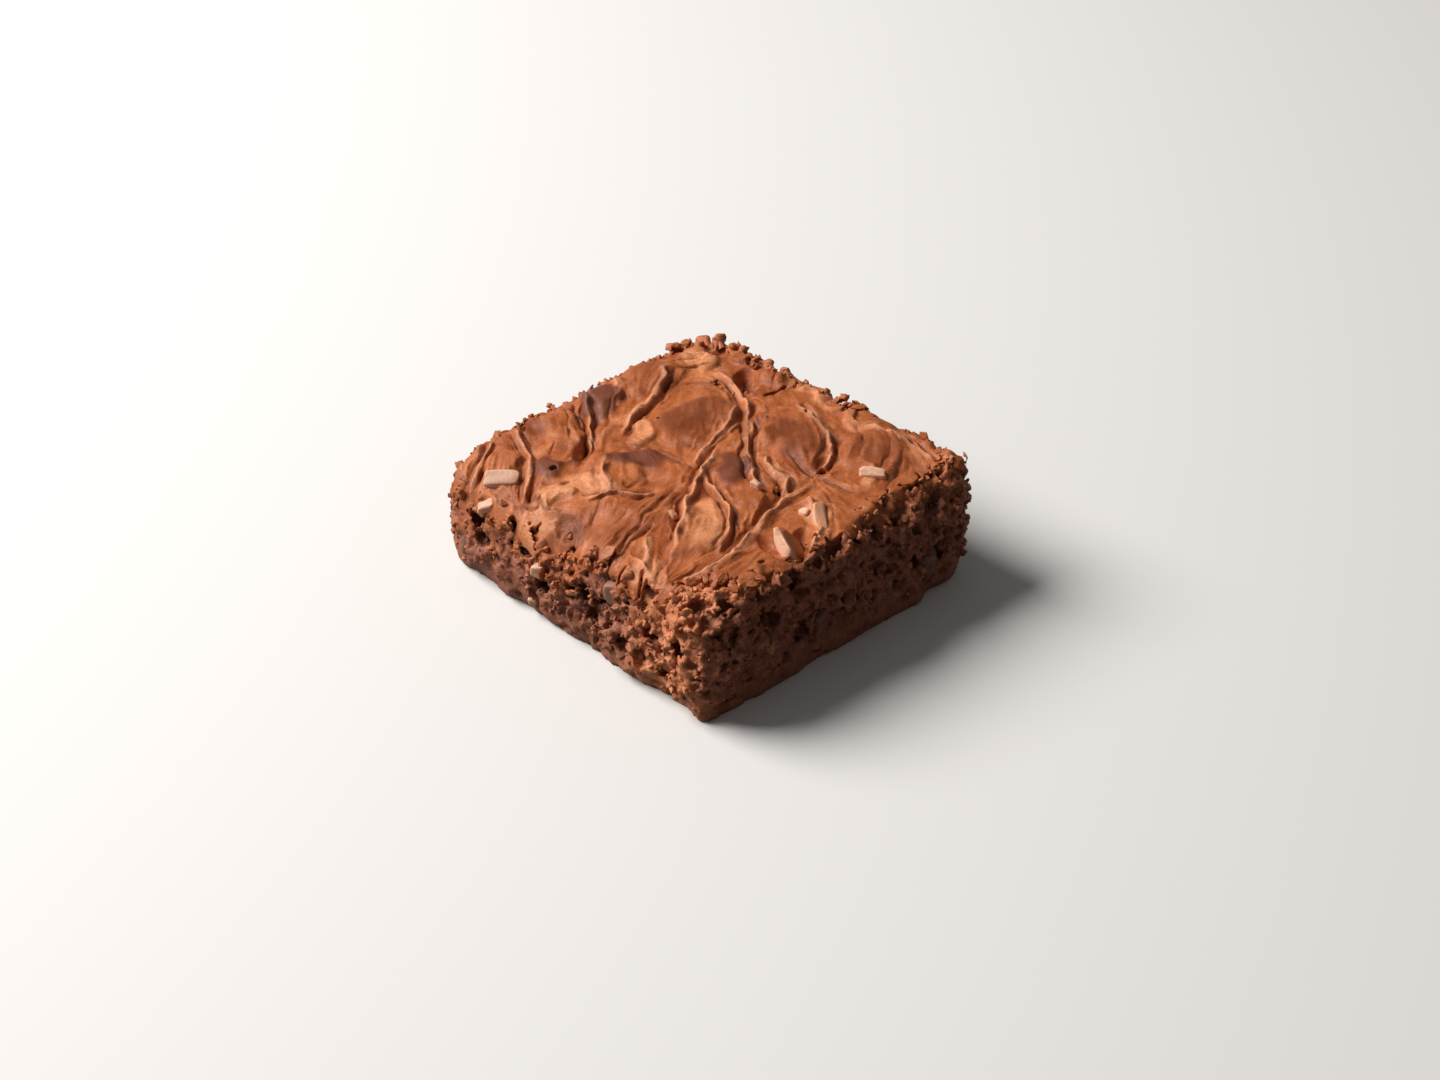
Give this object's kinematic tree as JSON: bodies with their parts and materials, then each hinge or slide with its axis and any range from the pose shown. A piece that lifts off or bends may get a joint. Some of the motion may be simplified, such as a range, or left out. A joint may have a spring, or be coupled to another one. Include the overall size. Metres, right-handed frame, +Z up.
{
  "type": "brownie",
  "caption": "Thick square chocolate brownie with a thin wrinkled top crust, torn pitted sides and chocolate chips baked in.",
  "frame": {"origin": "middle of the flat base, on the surface that the brownie stands on", "axes": "+Z up, +X along the longer side, so that the left face looks along -Y and the right face along +X"},
  "size_m": [0.0828, 0.0777, 0.0286],
  "materials": {
    "crumb": "matt, open, moist chocolate crumb",
    "crust": "thin satin crust, orange-brown, wrinkled",
    "chocolate": "softly glossy dark chocolate with a pale bloom"
  },
  "bodies": {
    "root": {"brownie": "crumb"}
  },
  "joints": []
}
